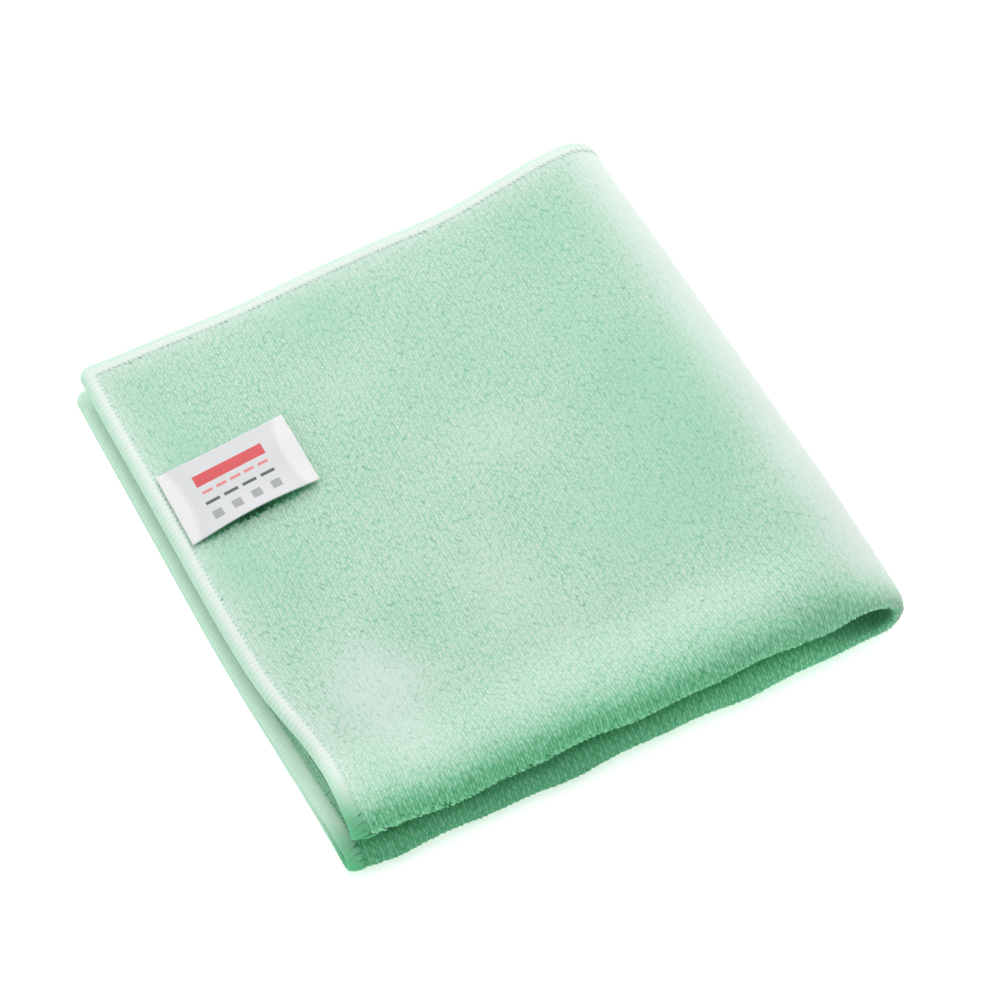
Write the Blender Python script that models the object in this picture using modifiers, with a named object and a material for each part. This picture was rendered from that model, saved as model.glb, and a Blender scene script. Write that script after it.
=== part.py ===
"""A microfibre cloth folded in quarters, with a label sewn beside one hem.

Metres, +Z up. The cloth is one sheet. Its first fold is the crease along the
front, its second the open loop along the right. Four layers lie on each other,
and their hems come together at the left and the back.

A point of the flat cloth is named by two distances in the sheet:
    over   from the second crease: above 0 in the upper pair of layers
    back   from the first crease: above 0 in the outer layer of each pair
"""
from math import pi

import bpy
import numpy as np

MM = 0.001

# The flat cloth
WIDTH = 401 * MM
LENGTH = 400 * MM
FABRIC = 3.0 * MM
HEM_FABRIC = 3.4 * MM
HEM_WIDTH = 7 * MM
HEM_FULL = 4 * MM
CORNER_RADIUS = 4 * MM

# First fold, along the front
FIRST_CREASE = 199.2 * MM
FIRST_CREASE_SKEW = 1.6 * MM
PAIR_GAP = 0.8 * MM
FRONT_NOSE = 4.8 * MM
FRONT_HALF_HEIGHT = 3.6 * MM
FRONT_EASE = 30 * MM
INNER_SHORT = 0.018

# Second fold, along the right
SECOND_CREASE = 199.2 * MM
STACK_GAP = 0.8 * MM
LOOP_NOSE = 5.5 * MM
LOOP_GAP = 7.0 * MM
LOOP_GAP_BACK = 8.0 * MM
LOOP_EASE = 58 * MM
LOOP_EASE_FRONT = 17 * MM
LOOP_FRONT_DEPTH = 15 * MM
UPPER_INNER_SHORT = 0.013

# In the loop the first crease is pressed flat, and its inner layer draws back
PRESSED_REACH = 10 * MM
PRESSED_FADE = 30 * MM
INNER_DRAW = 5.0 * MM

# The upper pair lies a little back on the lower pair
UPPER_SHIFT = 3.4 * MM
SHIFT_SPREAD = 24 * MM

# The cloth isn't laid quite square. Its left hems come in towards the front,
# the upper ones most at a dip, its right side is a little longer, the upper back
# hem bows in, and the front corners are tucked in
FRONT_LEAN = 3.2 * MM
LEFT_DIP = 3.7 * MM
LEFT_DIP_PLACE = -66 * MM
LEFT_DIP_SPREAD = 22 * MM
RIGHT_FLARE = 2.4 * MM
FLARE_BIAS = 0.3
BACK_DIP = 1.2 * MM
BACK_DIP_PLACE = -40 * MM
BACK_DIP_SPREAD = 38 * MM
CORNER_TUCK = 5.0 * MM
TUCK_SPREAD = 13 * MM
TUCK_DEPTH = 25 * MM
RIGHT_TUCK = 1.6 * MM

# Soft waves of the top: height, across, along, start
WAVES = (
    (0.030, 11.0, 23.0, 0.6),
    (0.022, -27.0, 17.0, 2.1),
    (0.018, 34.0, -31.0, 4.0),
)
# Waves of the front crease: height, turns for each metre, start, upper pair's lead
CREASE_WAVES = (
    (0.5 * MM, 95.0, 0.0, 3.0),
    (0.3 * MM, 210.0, 1.2, 1.7),
)
CREASE_WAVE_DEPTH = 12 * MM

# Stations beside each crease: where a zone ends, and its steps
OVER_ZONES = ((20 * MM, 10), (55 * MM, 5))
BACK_ZONES = ((7 * MM, 5), (38 * MM, 4))
OVER_BODY_STEPS = 7
BACK_BODY_STEPS = 8
HEM_STEPS = 2

# The label
LABEL_LENGTH = 46 * MM
LABEL_WIDTH = 28.5 * MM
LABEL_FABRIC = 1.0 * MM
LABEL_GAP = 0.35 * MM
LABEL_FROM_HEM = 5.4 * MM
LABEL_FROM_CREASE = 134.8 * MM
LABEL_TURN = 0.055
LABEL_LIFT = 2.2 * MM
LABEL_BOW = 1.0 * MM

COLLECTION = "microfibre_cloth"
MINT = (0.40, 0.68, 0.50, 1.0)
SATIN_WHITE = (0.86, 0.87, 0.86, 1.0)


def clear_scene():
    """Start from an empty scene."""
    for item in list(bpy.data.objects):
        bpy.data.objects.remove(item, do_unlink=True)


def plain_material(name, colour, roughness):
    """A Principled material of one colour."""
    material = bpy.data.materials.new(name)
    material.use_nodes = True
    shader = material.node_tree.nodes["Principled BSDF"]
    shader.inputs["Base Color"].default_value = colour
    shader.inputs["Roughness"].default_value = roughness
    shader.inputs["Metallic"].default_value = 0.0
    return material


def smooth(value):
    """0 below 0, 1 above 1 and an even slope between them."""
    value = np.clip(value, 0.0, 1.0)
    return value * value * (3.0 - 2.0 * value)


def quarter_turn(distance, reach, height):
    """Angle reached round a quarter ellipse, and what is left of the distance."""
    quarter = pi / 2 * np.sqrt((reach ** 2 + height ** 2) / 2)
    turn = pi / 2 * np.minimum(distance / quarter, 1.0)
    return turn, np.maximum(distance - quarter, 0.0)


def settle(full, flat, past, ease):
    """A height that eases from full to flat over a distance."""
    return flat + (full - flat) * (1.0 + np.cos(pi * np.minimum(past / ease, 1.0))) / 2


def flat_outline(over, back):
    """Round the cloth's four corners, as the overlock does."""
    half_over = np.where(over > 0, SECOND_CREASE, WIDTH - SECOND_CREASE)
    half_back = np.where(back > 0, LENGTH - FIRST_CREASE, FIRST_CREASE)
    past_over = np.maximum(np.abs(over) - (half_over - CORNER_RADIUS), 0.0)
    past_back = np.maximum(np.abs(back) - (half_back - CORNER_RADIUS), 0.0)
    square = np.maximum(past_over, past_back)
    round_off = square / np.maximum(np.hypot(past_over, past_back), 1e-9)
    round_off = np.where((past_over > 0) & (past_back > 0), round_off, 1.0)
    over = np.sign(over) * (np.abs(over) - past_over + past_over * round_off)
    back = np.sign(back) * (np.abs(back) - past_back + past_back * round_off)
    return over, back


def first_fold(over, back):
    """Depth behind the front crease, half the pair's opening, height off its middle."""
    outer = np.where(back > 0, 1.0, -1.0)
    back = np.abs(back) * np.where(back > 0, 1.0, 1.0 - INNER_SHORT)
    plump = smooth((np.abs(over) - PRESSED_REACH) / PRESSED_FADE)
    flat_half = (FABRIC + PAIR_GAP) / 2
    full_half = flat_half + (FRONT_HALF_HEIGHT - flat_half) * plump
    nose = FRONT_NOSE + np.where(outer < 0, INNER_DRAW, 0.0) * (1.0 - plump)
    turn, past = quarter_turn(back, nose, full_half)
    depth = nose * (1.0 - np.cos(turn)) + past
    half = np.where(past > 0, settle(full_half, flat_half, past, FRONT_EASE), full_half)
    off_middle = np.where(past > 0, half, full_half * np.sin(turn))
    return depth, half, outer * off_middle


def second_fold(over, depth, half, off_middle):
    """How far in from the right the pair lies, and its height, round the loop."""
    off_wall = FABRIC / 2 + half + off_middle
    off_flat = FABRIC / 2 + FABRIC + PAIR_GAP
    turn, past = quarter_turn(np.abs(over), LOOP_NOSE + off_flat, LOOP_GAP / 2 + off_flat)
    drawn_in = UPPER_INNER_SHORT * ((over > 0) & (off_middle < 0))
    inwards = (LOOP_NOSE + off_wall) * (1.0 - np.cos(turn)) - off_wall + past * (1.0 - drawn_in)
    to_back = smooth(depth * 2 / LENGTH)
    open_gap = LOOP_GAP + (LOOP_GAP_BACK - LOOP_GAP) * to_back
    ease = LOOP_EASE + (LOOP_EASE_FRONT - LOOP_EASE) * np.exp(-depth / LOOP_FRONT_DEPTH)
    gap = np.where(past > 0, settle(open_gap, STACK_GAP, past, ease), open_gap)
    level = (gap / 2 + off_wall) * np.sin(turn) * np.where(over > 0, 1.0, -1.0)
    return inwards, gap / 2 + FABRIC + 2 * half + level


def laid(over, depth, x, y):
    """Lay the folded cloth down unevenly, as it is seen to lie."""
    upper = smooth((over / SHIFT_SPREAD + 1.0) / 2)
    y = y + UPPER_SHIFT * upper
    to_right, to_back = x / (WIDTH / 4), y / (LENGTH / 4)
    left_dip = LEFT_DIP * upper * np.exp(-((y - LEFT_DIP_PLACE) / LEFT_DIP_SPREAD) ** 2)
    back_dip = BACK_DIP * upper * np.exp(-((x - BACK_DIP_PLACE) / BACK_DIP_SPREAD) ** 2)
    tuck = CORNER_TUCK * np.exp(-(x + WIDTH / 4) / TUCK_SPREAD - depth / TUCK_DEPTH)
    x = x + (FRONT_LEAN * smooth(-to_back) + left_dip) * smooth(-to_right)
    x = x - RIGHT_TUCK * smooth(to_right) * np.exp(-depth / TUCK_DEPTH)
    y = y + RIGHT_FLARE * (to_back + FLARE_BIAS) * (1.0 + to_right) / 2 + tuck - back_dip * smooth(to_back)
    fade = np.exp(-depth / CREASE_WAVE_DEPTH)
    for height, turns, start, lead in CREASE_WAVES:
        y = y + height * fade * np.sin(turns * x + start + lead * upper)
    return x, y


def folded(over, back):
    """Where the middle of the cloth lies, as an array of x, y and z."""
    over, back = flat_outline(over, back)
    back = back - FIRST_CREASE_SKEW * over / SECOND_CREASE
    depth, half, off_middle = first_fold(over, back)
    inwards, z = second_fold(over, depth, half, off_middle)
    x, y = laid(over, depth, WIDTH / 4 - inwards, depth - LENGTH / 4)

    # Soft waves lift every layer by its share, and leave the underside flat
    wave = sum(h * np.sin(a * x + b * y + s) for h, a, b, s in WAVES)
    z = FABRIC / 2 + (z - FABRIC / 2) * (1.0 + wave)
    return np.stack((x, y, z), axis=-1)


def stations(zones, body_steps, half_low, half_high):
    """Distances from a crease, from the low hem to the high hem, fine at the crease."""
    sides = []
    for half in (half_low, half_high):
        start, side = 0.0, [0.0]
        for end, steps in zones + ((half - HEM_WIDTH, body_steps), (half, HEM_STEPS)):
            side.extend(np.linspace(start, end, steps + 1)[1:])
            start = end
        sides.append(np.array(side))
    return np.concatenate((-sides[0][:0:-1], sides[1]))


def sheet(name, columns, rows, place):
    """A grid primitive whose points are put where place(column, row) says."""
    bpy.ops.mesh.primitive_grid_add(x_subdivisions=len(columns) - 1,
                                    y_subdivisions=len(rows) - 1, size=1.0)
    piece = bpy.context.object
    piece.name = piece.data.name = name
    flat = np.array([vertex.co[:2] for vertex in piece.data.vertices])
    column = np.rint((flat[:, 0] + 0.5) * (len(columns) - 1)).astype(int)
    row = np.rint((flat[:, 1] + 0.5) * (len(rows) - 1)).astype(int)
    points = place(columns[column], rows[row])
    for vertex, point in zip(piece.data.vertices, points):
        vertex.co = point
    return piece, columns[column], rows[row]


def thicken(piece, thickness, group=None):
    """Give a sheet its thickness, half to each side, and apply it."""
    solid = piece.modifiers.new("thickness", "SOLIDIFY")
    solid.thickness = thickness
    solid.offset = 0.0
    if group is not None:
        solid.vertex_group = group
    bpy.context.view_layer.objects.active = piece
    bpy.ops.object.modifier_apply(modifier=solid.name)


def finish(piece, material, collection):
    """Set the material and collection, and shade the piece smooth."""
    piece.data.materials.append(material)
    for other in list(piece.users_collection):
        other.objects.unlink(piece)
    collection.objects.link(piece)
    piece.data.shade_smooth()


def make_cloth():
    """The whole cloth, with thicker hems and a flat underside."""
    columns = stations(OVER_ZONES, OVER_BODY_STEPS, WIDTH - SECOND_CREASE, SECOND_CREASE)
    rows = stations(BACK_ZONES, BACK_BODY_STEPS, FIRST_CREASE, LENGTH - FIRST_CREASE)
    cloth, over, back = sheet("cloth", columns, rows, folded)

    to_side = np.minimum(over - columns[0], columns[-1] - over)
    to_back = np.minimum(back - rows[0], rows[-1] - back)
    in_hem = np.minimum(to_side, to_back) < HEM_FULL
    group = cloth.vertex_groups.new(name="fabric")
    for index, hem in enumerate(in_hem):
        share = 1.0 if hem else FABRIC / HEM_FABRIC
        group.add([index], share, "REPLACE")
    thicken(cloth, HEM_FABRIC, group.name)

    for vertex in cloth.data.vertices:
        vertex.co.z = max(vertex.co.z, 0.0)
    return cloth


def label_point(along, across):
    """A point of the label's middle, along from its sewn side and across it."""
    over = SECOND_CREASE - LABEL_FROM_HEM - along
    back = LABEL_FROM_CREASE + across + LABEL_TURN * along
    point = folded(over, back)
    share = along / LABEL_LENGTH
    rise = LABEL_LIFT * share ** 2 + LABEL_BOW * np.sin(pi * share)
    point[..., 2] += HEM_FABRIC / 2 + LABEL_GAP + LABEL_FABRIC / 2 + rise
    return point


def make_label():
    """The label, sewn at its left end and lifting a little towards its free end."""
    along = np.linspace(0.0, LABEL_LENGTH, 13)
    across = np.linspace(-LABEL_WIDTH / 2, LABEL_WIDTH / 2, 6)
    label, _, _ = sheet("label", along, across, label_point)
    thicken(label, LABEL_FABRIC)
    return label


def centre(pieces):
    """Move the model so that its box stands centred on the origin."""
    points = np.array([vertex.co for piece in pieces for vertex in piece.data.vertices])
    low, high = points.min(axis=0), points.max(axis=0)
    for piece in pieces:
        for vertex in piece.data.vertices:
            vertex.co.x -= (low[0] + high[0]) / 2
            vertex.co.y -= (low[1] + high[1]) / 2


def main():
    clear_scene()
    collection = bpy.data.collections.new(COLLECTION)
    bpy.context.scene.collection.children.link(collection)
    cloth = make_cloth()
    label = make_label()
    centre((cloth, label))
    finish(cloth, plain_material("mint_microfibre", MINT, 0.9), collection)
    finish(label, plain_material("white_satin", SATIN_WHITE, 0.4), collection)


main()
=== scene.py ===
# %% [markdown]
# # A microfibre cloth, folded in quarters
#
# The real thing is one knitted square with a short pile on both faces. Its edges are
# overlocked, and a satin label is sewn beside one hem. Folded twice, it has four
# layers: a plump crease along the front and an open loop along the right.
#
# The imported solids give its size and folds. Here the cloth becomes a thin sheet on
# the same folds, and gets what the solids leave out: pile, thread and finishes.

from math import cos, pi, radians, sin

import bpy
import numpy as np
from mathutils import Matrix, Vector


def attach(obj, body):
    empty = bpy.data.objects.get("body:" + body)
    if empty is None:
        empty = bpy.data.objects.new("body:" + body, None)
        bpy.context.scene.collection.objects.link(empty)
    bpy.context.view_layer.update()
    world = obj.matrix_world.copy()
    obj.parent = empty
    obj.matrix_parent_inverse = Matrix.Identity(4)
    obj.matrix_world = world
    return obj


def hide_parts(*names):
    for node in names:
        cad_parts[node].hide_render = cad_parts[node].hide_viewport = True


MM = 0.001
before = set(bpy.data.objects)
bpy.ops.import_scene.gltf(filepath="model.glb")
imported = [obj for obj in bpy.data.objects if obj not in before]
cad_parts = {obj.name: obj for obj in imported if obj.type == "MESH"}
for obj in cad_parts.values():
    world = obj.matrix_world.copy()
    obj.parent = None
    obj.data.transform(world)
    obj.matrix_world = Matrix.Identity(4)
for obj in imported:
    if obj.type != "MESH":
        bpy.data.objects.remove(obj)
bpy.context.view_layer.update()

# %% [markdown]
# ## Camera, floor and light
#
# The camera comes first, because every later choice is judged through it. Its angle
# was found by laying the solids' outline over the photograph. A long lens keeps the
# two far sides almost parallel. The two strongest lights are broad, one from behind
# and one from above, so the top is pale and the front folds stay deep. Weaker lamps
# fill the sides, and the floor glows a little, as a white studio table does.

# %% Set up the camera
CAMERA_TURN = radians(-27.77)
CAMERA_RISE = radians(56.29)
CAMERA_AWAY = 0.974
CAMERA_AIM = Vector((0.0, 0.0, 0.0117))
LENS = 109.5
LENS_SHIFT = (0.0213, -0.0162)

camera = bpy.data.objects.new("camera", bpy.data.cameras.new("camera"))
bpy.context.scene.collection.objects.link(camera)
towards = Vector((sin(CAMERA_TURN) * cos(CAMERA_RISE),
                  -cos(CAMERA_TURN) * cos(CAMERA_RISE), sin(CAMERA_RISE)))
camera.location = CAMERA_AIM + towards * CAMERA_AWAY
camera.rotation_euler = (-towards).to_track_quat("-Z", "Y").to_euler()
camera.data.lens = LENS
camera.data.shift_x, camera.data.shift_y = LENS_SHIFT
bpy.context.scene.camera = camera
print("camera at", [round(place, 3) for place in camera.location])

# %% Hang the lamps and set the sky
LAMPS = {
    # name: place, size, watts
    "window_behind": ((0.45, 1.20, 0.85), 1.2, 11.7),
    "window_right": ((1.15, 0.45, 0.45), 0.7, 2.2),
    "window_left": ((-1.20, 0.20, 0.60), 0.9, 4.5),
    "ceiling": ((0.10, 0.30, 1.60), 1.6, 11.0),
    "front_fill": ((-0.40, -1.30, 0.60), 1.4, 4.5),
}
SKY_WHITE = (1.0, 1.0, 1.0, 1.0)
SKY_STRENGTH = 0.25

for name, (place, size, watts) in LAMPS.items():
    lamp = bpy.data.objects.new(name, bpy.data.lights.new(name, "AREA"))
    bpy.context.scene.collection.objects.link(lamp)
    lamp.location = place
    lamp.rotation_euler = Vector(place).to_track_quat("Z", "Y").to_euler()
    lamp.data.size = size
    lamp.data.energy = watts

sky = bpy.data.worlds.new("studio")
sky.use_nodes = True
sky.node_tree.nodes["Background"].inputs["Color"].default_value = SKY_WHITE
sky.node_tree.nodes["Background"].inputs["Strength"].default_value = SKY_STRENGTH
bpy.context.scene.world = sky
bpy.context.scene.view_settings.view_transform = "Standard"
print(len(LAMPS), "lamps of", round(sum(watts for _, _, watts in LAMPS.values()), 1), "W in all")

# %% [markdown]
# ## Wiring finishes
#
# A finish is a small network of shader nodes. Written as node calls it is hard to
# read, so a wire is a Python object here: `1 - mask` or `height * 0.5` adds the Math
# node that does it. `Finish` holds one material and adds every other kind of node.

# %% A wire between nodes, and a finish that is wired with them


class Wire:
    """A socket. Python's operators on it add Math nodes."""

    def __init__(self, finish, socket):
        self.finish, self.socket = finish, socket

    def math(self, operation, *values):
        return self.finish.node("ShaderNodeMath", {"operation": operation}, dict(enumerate(values)))

    def __add__(self, other):
        return self.math("ADD", self, other)

    def __sub__(self, other):
        return self.math("SUBTRACT", self, other)

    def __rsub__(self, other):
        return self.math("SUBTRACT", other, self)

    def __mul__(self, other):
        return self.math("MULTIPLY", self, other)

    def __lt__(self, other):
        return self.math("LESS_THAN", self, other)

    def __abs__(self):
        return self.math("ABSOLUTE", self)

    def sine(self):
        return self.math("SINE", self)

    def capped(self):
        return self.math("MINIMUM", self.math("MAXIMUM", self, 0.0), 1.0)

    __radd__ = __add__


class Finish:
    """One material. Constant sockets are set when it is made."""

    def __init__(self, name, sockets):
        self.material = bpy.data.materials.new(name)
        self.material.use_nodes = True
        self.tree = self.material.node_tree
        self.shader = self.tree.nodes["Principled BSDF"]
        for label, value in sockets.items():
            self.shader.inputs[label].default_value = value

    def plug(self, socket, value):
        if isinstance(value, Wire):
            self.tree.links.new(value.socket, socket)
        else:
            socket.default_value = value

    def node(self, kind, settings=None, inputs=None, output=0):
        made = self.tree.nodes.new(kind)
        for name, value in (settings or {}).items():
            setattr(made, name, value)
        for key, value in (inputs or {}).items():
            self.plug(made.inputs[key], value)
        return Wire(self, made.outputs[output])

    def place(self, layer=None):
        """Object coordinates, or the piece's own UV map by name."""
        if layer is None:
            return self.node("ShaderNodeTexCoord", output="Object")
        return self.node("ShaderNodeUVMap", {"uv_map": layer})

    def split(self, vector):
        return [self.node("ShaderNodeSeparateXYZ", inputs={0: vector}, output=i) for i in range(3)]

    def noise(self, vector, scale, detail=2.0, rough=0.5):
        return self.node("ShaderNodeTexNoise", inputs={
            "Vector": vector, "Scale": scale, "Detail": detail, "Roughness": rough})

    def blend(self, share, low, high):
        return self.node("ShaderNodeMix", {"data_type": "RGBA"}, {0: share, 6: low, 7: high}, 2)

    def bump(self, height, distance, strength=1.0):
        raised = self.node("ShaderNodeBump", inputs={
            "Height": height, "Distance": distance, "Strength": strength})
        self.plug(self.shader.inputs["Normal"], raised)

    def colour(self, wire):
        self.plug(self.shader.inputs["Base Color"], wire)
        print(self.material.name, "has", len(self.tree.nodes), "nodes so far")


def paint(piece, finish):
    """Give a piece one finish."""
    piece.data.materials.clear()
    piece.data.materials.append(finish.material)


# %% Lay the floor
FLOOR_SIDE = 6.0
FLOOR_PALE = (0.95, 0.95, 0.95, 1.0)
FLOOR_GLOW = 0.5

bpy.ops.object.select_all(action="DESELECT")
bpy.ops.mesh.primitive_plane_add(size=FLOOR_SIDE)
floor = bpy.context.object
floor.name = "floor"
pale = Finish("pale_floor", {"Base Color": FLOOR_PALE, "Roughness": 0.9, "Specular IOR Level": 0.0,
                             "Emission Color": SKY_WHITE, "Emission Strength": FLOOR_GLOW})
paint(floor, pale)
print("floor", FLOOR_SIDE, "m wide")

# %% [markdown]
# ## The folds
#
# A real cloth is folded flat cloth, so the shape is written that way: one function
# takes a place on the flat square and says where it comes to lie. Everything that
# sits on the cloth, each tuft, thread and the label, goes through the same function,
# so nothing can drift off the cloth. The numbers are those of the solid.
#
# A place is named by `over`, from the second crease, above 0 in the upper pair of
# layers, and `back`, from the first crease, above 0 in the outer layer of each pair.

# %% Name the sizes of the folds
WIDTH = 401 * MM
LENGTH = 400 * MM
FABRIC = 3.0 * MM
FIRST_CREASE = 199.2 * MM
FIRST_CREASE_SKEW = 1.6 * MM
PAIR_GAP = 0.8 * MM
FRONT_NOSE = 4.8 * MM
FRONT_HALF_HEIGHT = 3.6 * MM
FRONT_EASE = 30 * MM
INNER_SHORT = 0.018
SECOND_CREASE = 199.2 * MM
STACK_GAP = 0.8 * MM
LOOP_NOSE = 5.5 * MM
LOOP_GAP = 7.0 * MM
LOOP_GAP_BACK = 8.0 * MM
LOOP_EASE = 58 * MM
LOOP_EASE_FRONT = 17 * MM
LOOP_FRONT_DEPTH = 15 * MM
UPPER_INNER_SHORT = 0.013
PRESSED_REACH = 10 * MM
PRESSED_FADE = 30 * MM
INNER_DRAW = 5.0 * MM
UPPER_SHIFT = 3.4 * MM
SHIFT_SPREAD = 24 * MM
FRONT_LEAN = 3.2 * MM
LEFT_DIP = 3.7 * MM
LEFT_DIP_PLACE = -66 * MM
LEFT_DIP_SPREAD = 22 * MM
RIGHT_FLARE = 2.4 * MM
FLARE_BIAS = 0.3
BACK_DIP = 1.2 * MM
BACK_DIP_PLACE = -40 * MM
BACK_DIP_SPREAD = 38 * MM
CORNER_TUCK = 5.0 * MM
TUCK_SPREAD = 13 * MM
TUCK_DEPTH = 25 * MM
RIGHT_TUCK = 1.6 * MM
CREASE_WAVE_DEPTH = 12 * MM
CREASE_WAVES = ((0.5 * MM, 95.0, 0.0, 3.0), (0.3 * MM, 210.0, 1.2, 1.7))
# Height, across, along, start: the solid's three waves, then three finer ones
WAVES = ((0.030, 11.0, 23.0, 0.6), (0.022, -27.0, 17.0, 2.1), (0.018, 34.0, -31.0, 4.0),
         (0.014, 92.0, 57.0, 1.0), (0.012, -71.0, 118.0, 2.5), (0.009, 158.0, -93.0, 0.3))
# How far the solid was moved to stand centred on the origin
CENTRED = np.array((-7.834, -1.355, 0.0)) * MM

FLAT_LOW = np.array((SECOND_CREASE - WIDTH, -FIRST_CREASE))
FLAT_HIGH = np.array((SECOND_CREASE, LENGTH - FIRST_CREASE))

# %% Fold a place of the flat cloth


def smooth(value):
    """0 below 0, 1 above 1 and an even slope between them."""
    value = np.clip(value, 0.0, 1.0)
    return value * value * (3.0 - 2.0 * value)


def quarter_turn(distance, reach, height):
    """Angle reached round a quarter ellipse, and what is left of the distance."""
    quarter = pi / 2 * np.sqrt((reach ** 2 + height ** 2) / 2)
    turn = pi / 2 * np.minimum(distance / quarter, 1.0)
    return turn, np.maximum(distance - quarter, 0.0)


def settle(full, flat, past, ease):
    """A height that eases from full to flat over a distance."""
    return flat + (full - flat) * (1.0 + np.cos(pi * np.minimum(past / ease, 1.0))) / 2


def first_fold(over, back):
    """Depth behind the front crease, half the pair's opening, height off its middle."""
    outer = np.where(back > 0, 1.0, -1.0)
    back = np.abs(back) * np.where(back > 0, 1.0, 1.0 - INNER_SHORT)
    plump = smooth((np.abs(over) - PRESSED_REACH) / PRESSED_FADE)
    flat_half = (FABRIC + PAIR_GAP) / 2
    full_half = flat_half + (FRONT_HALF_HEIGHT - flat_half) * plump
    nose = FRONT_NOSE + np.where(outer < 0, INNER_DRAW, 0.0) * (1.0 - plump)
    turn, past = quarter_turn(back, nose, full_half)
    depth = nose * (1.0 - np.cos(turn)) + past
    half = np.where(past > 0, settle(full_half, flat_half, past, FRONT_EASE), full_half)
    off_middle = np.where(past > 0, half, full_half * np.sin(turn))
    return depth, half, outer * off_middle


def second_fold(over, depth, half, off_middle):
    """How far in from the right the pair lies, and its height, round the loop."""
    off_wall = FABRIC / 2 + half + off_middle
    off_flat = FABRIC / 2 + FABRIC + PAIR_GAP
    turn, past = quarter_turn(np.abs(over), LOOP_NOSE + off_flat, LOOP_GAP / 2 + off_flat)
    drawn_in = UPPER_INNER_SHORT * ((over > 0) & (off_middle < 0))
    inwards = (LOOP_NOSE + off_wall) * (1.0 - np.cos(turn)) - off_wall + past * (1.0 - drawn_in)
    to_back = smooth(depth * 2 / LENGTH)
    open_gap = LOOP_GAP + (LOOP_GAP_BACK - LOOP_GAP) * to_back
    ease = LOOP_EASE + (LOOP_EASE_FRONT - LOOP_EASE) * np.exp(-depth / LOOP_FRONT_DEPTH)
    gap = np.where(past > 0, settle(open_gap, STACK_GAP, past, ease), open_gap)
    level = (gap / 2 + off_wall) * np.sin(turn) * np.where(over > 0, 1.0, -1.0)
    return inwards, gap / 2 + FABRIC + 2 * half + level


def laid(over, depth, x, y):
    """Lay the folded cloth down unevenly, as it is seen to lie."""
    upper = smooth((over / SHIFT_SPREAD + 1.0) / 2)
    y = y + UPPER_SHIFT * upper
    to_right, to_back = x / (WIDTH / 4), y / (LENGTH / 4)
    left_dip = LEFT_DIP * upper * np.exp(-((y - LEFT_DIP_PLACE) / LEFT_DIP_SPREAD) ** 2)
    back_dip = BACK_DIP * upper * np.exp(-((x - BACK_DIP_PLACE) / BACK_DIP_SPREAD) ** 2)
    tuck = CORNER_TUCK * np.exp(-(x + WIDTH / 4) / TUCK_SPREAD - depth / TUCK_DEPTH)
    x = x + (FRONT_LEAN * smooth(-to_back) + left_dip) * smooth(-to_right)
    x = x - RIGHT_TUCK * smooth(to_right) * np.exp(-depth / TUCK_DEPTH)
    flare = RIGHT_FLARE * (to_back + FLARE_BIAS) * (1.0 + to_right) / 2
    y = y + flare + tuck - back_dip * smooth(to_back)
    fade = np.exp(-depth / CREASE_WAVE_DEPTH)
    for height, turns, start, lead in CREASE_WAVES:
        y = y + height * fade * np.sin(turns * x + start + lead * upper)
    return x, y


def folded(over, back):
    """Where the middle of the cloth lies, as an array of x, y and z."""
    back = back - FIRST_CREASE_SKEW * over / SECOND_CREASE
    depth, half, off_middle = first_fold(over, back)
    inwards, z = second_fold(over, depth, half, off_middle)
    x, y = laid(over, depth, WIDTH / 4 - inwards, depth - LENGTH / 4)
    wave = sum(h * np.sin(a * x + b * y + s) for h, a, b, s in WAVES)
    z = FABRIC / 2 + (z - FABRIC / 2) * (1.0 + wave)
    return np.stack((x, y, z), axis=-1) + CENTRED


def unit(vectors):
    """Vectors of length 1."""
    return vectors / np.maximum(np.linalg.norm(vectors, axis=-1, keepdims=True), 1e-12)


def on_cloth(over, back, step=0.15 * MM):
    """Where places of the flat cloth come to lie, and which way is outward there."""
    across = unit(folded(over + step, back) - folded(over - step, back))
    along = unit(folded(over, back + step) - folded(over, back - step))
    return folded(over, back), unit(np.cross(along, across))


middle = folded(np.array((-60.0, 60.0)) * MM, np.array((100.0, 100.0)) * MM)
print("outer layers lie at", np.round(middle[:, 2] / MM, 1), "mm")

# %% Name the sizes of the label
LABEL_LENGTH = 46 * MM
LABEL_WIDTH = 28.5 * MM
LABEL_TAPE = 0.45 * MM
LABEL_OFF = 2.35 * MM
LABEL_FROM_HEM = 5.4 * MM
LABEL_FROM_CREASE = 134.8 * MM
LABEL_TURN = 0.055
LABEL_LIFT = 1.2 * MM
LABEL_BOW = 0.8 * MM
LABEL_CURL = 1.8 * MM
LABEL_RIPPLE = 0.22 * MM
RIPPLE_TURNS = 260.0
RIPPLE_START = 0.6


def on_label(over, back):
    """How far a flat place is along and across the label."""
    along = SECOND_CREASE - LABEL_FROM_HEM - over
    return along, back - LABEL_FROM_CREASE - LABEL_TURN * along


# %% [markdown]
# ## The knitted ground
#
# Under its pile the cloth is a thin knit. A grid is the plain way to make a sheet:
# its points are stretched over the flat square, closer together at the creases and
# hems, and then folded. Solidify gives it its two faces. A cloth simulation could
# fold it too, but would not land on these folds, so the creases are given.

# %% Make a sheet from a grid
GROUND = 2.0 * MM
HEM_WIDTH = 4.8 * MM
HEM_POINTS = 5
EDGE_INSET = 0.6 * MM
CORNER_RADIUS = 4.5 * MM
# A sheet's UV map holds its flat places, with this length as 1
UV_UNIT = 100 * MM


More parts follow.
